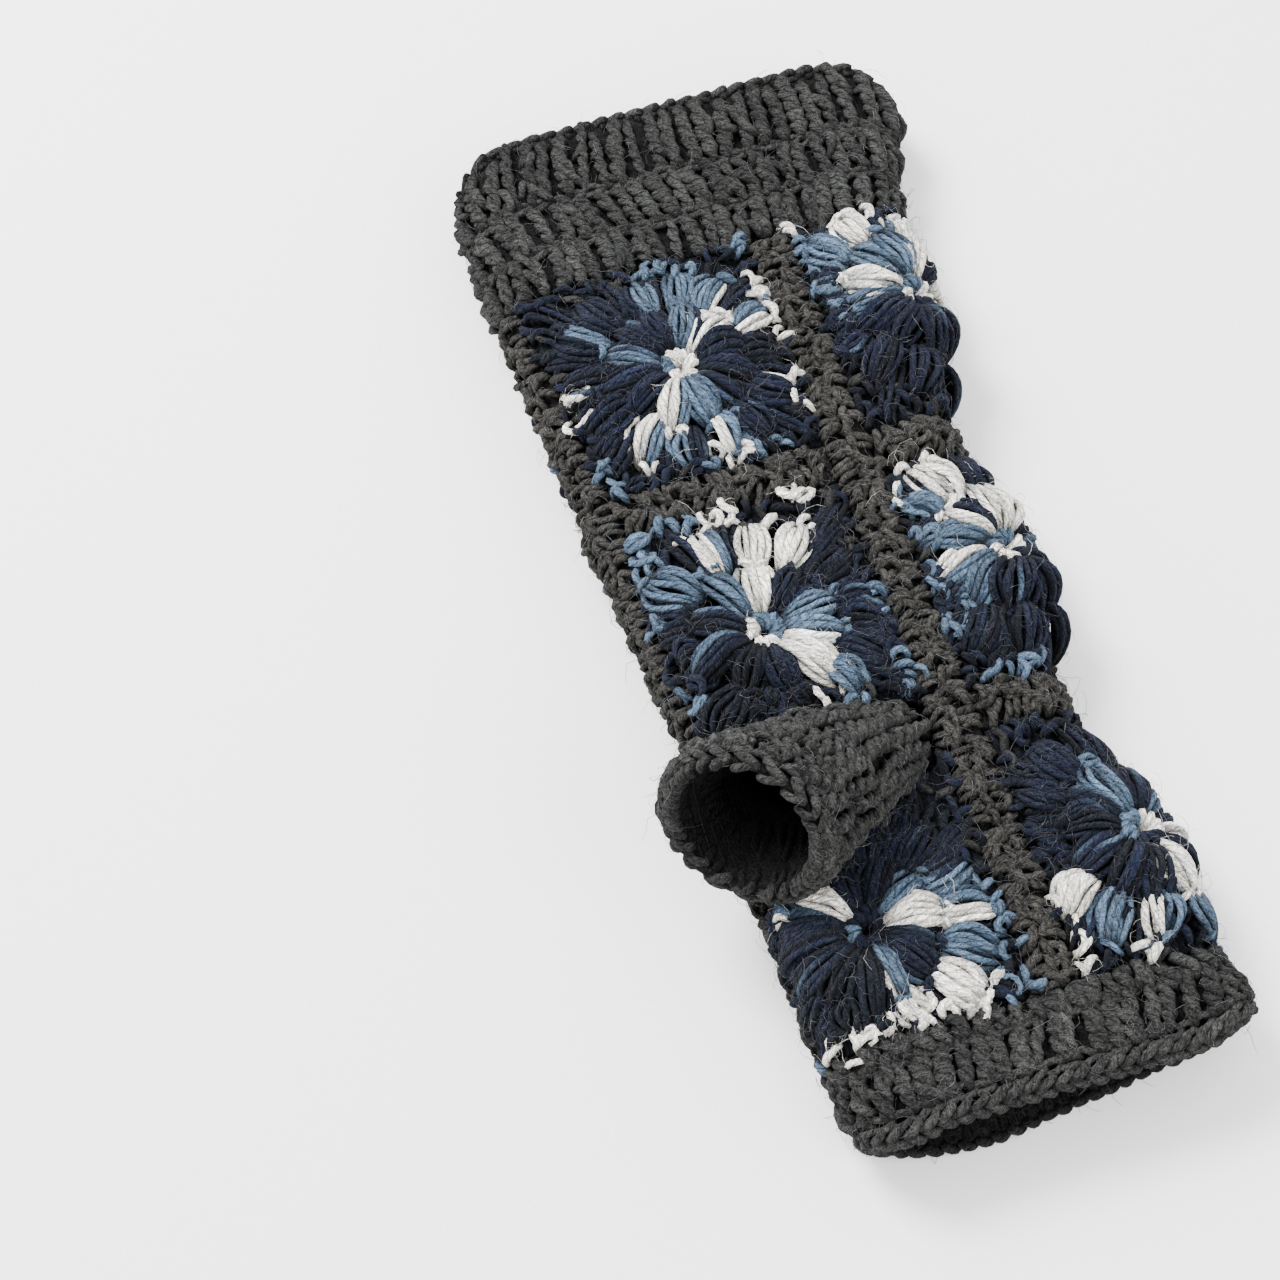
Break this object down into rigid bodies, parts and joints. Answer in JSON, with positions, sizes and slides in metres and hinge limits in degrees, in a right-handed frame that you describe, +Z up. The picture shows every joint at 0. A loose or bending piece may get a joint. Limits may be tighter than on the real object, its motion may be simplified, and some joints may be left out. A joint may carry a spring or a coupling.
{
  "type": "fingerless crochet glove",
  "caption": "Fingerless crochet glove lying flat and plump: a tube of joined granny squares with charcoal seams, a band at each open end and a short thumb tube.",
  "frame": {"origin": "bottom centre of the bounding box, on the surface the glove lies on", "axes": "+Z up, +Y along the glove from the finger opening to the arm opening, +X across the glove with the thumb tube on the -X side"},
  "size_m": [0.1282, 0.2978, 0.0681],
  "materials": {
    "flower_wool": "matt fuzzy wool yarn in navy, steel blue and cream white puff stitches",
    "charcoal_wool": "matt fuzzy charcoal wool yarn in crochet stitches"
  },
  "bodies": {
    "root": {"square_hand_left": "flower_wool", "square_hand_right": "flower_wool", "square_hand_under": "flower_wool", "square_middle_left": "flower_wool", "square_middle_right": "flower_wool", "square_middle_under": "flower_wool", "square_arm_left": "flower_wool", "square_arm_right": "flower_wool", "square_arm_under": "flower_wool", "seam_upper": "charcoal_wool", "seam_under": "charcoal_wool", "seam_left_fold": "charcoal_wool", "seam_ring_hand_right": "charcoal_wool", "seam_ring_hand_under": "charcoal_wool", "seam_ring_arm_left": "charcoal_wool", "seam_ring_arm_right": "charcoal_wool", "seam_ring_arm_under": "charcoal_wool", "band_hand": "charcoal_wool", "band_arm": "charcoal_wool", "thumb": "charcoal_wool"}
  },
  "joints": []
}
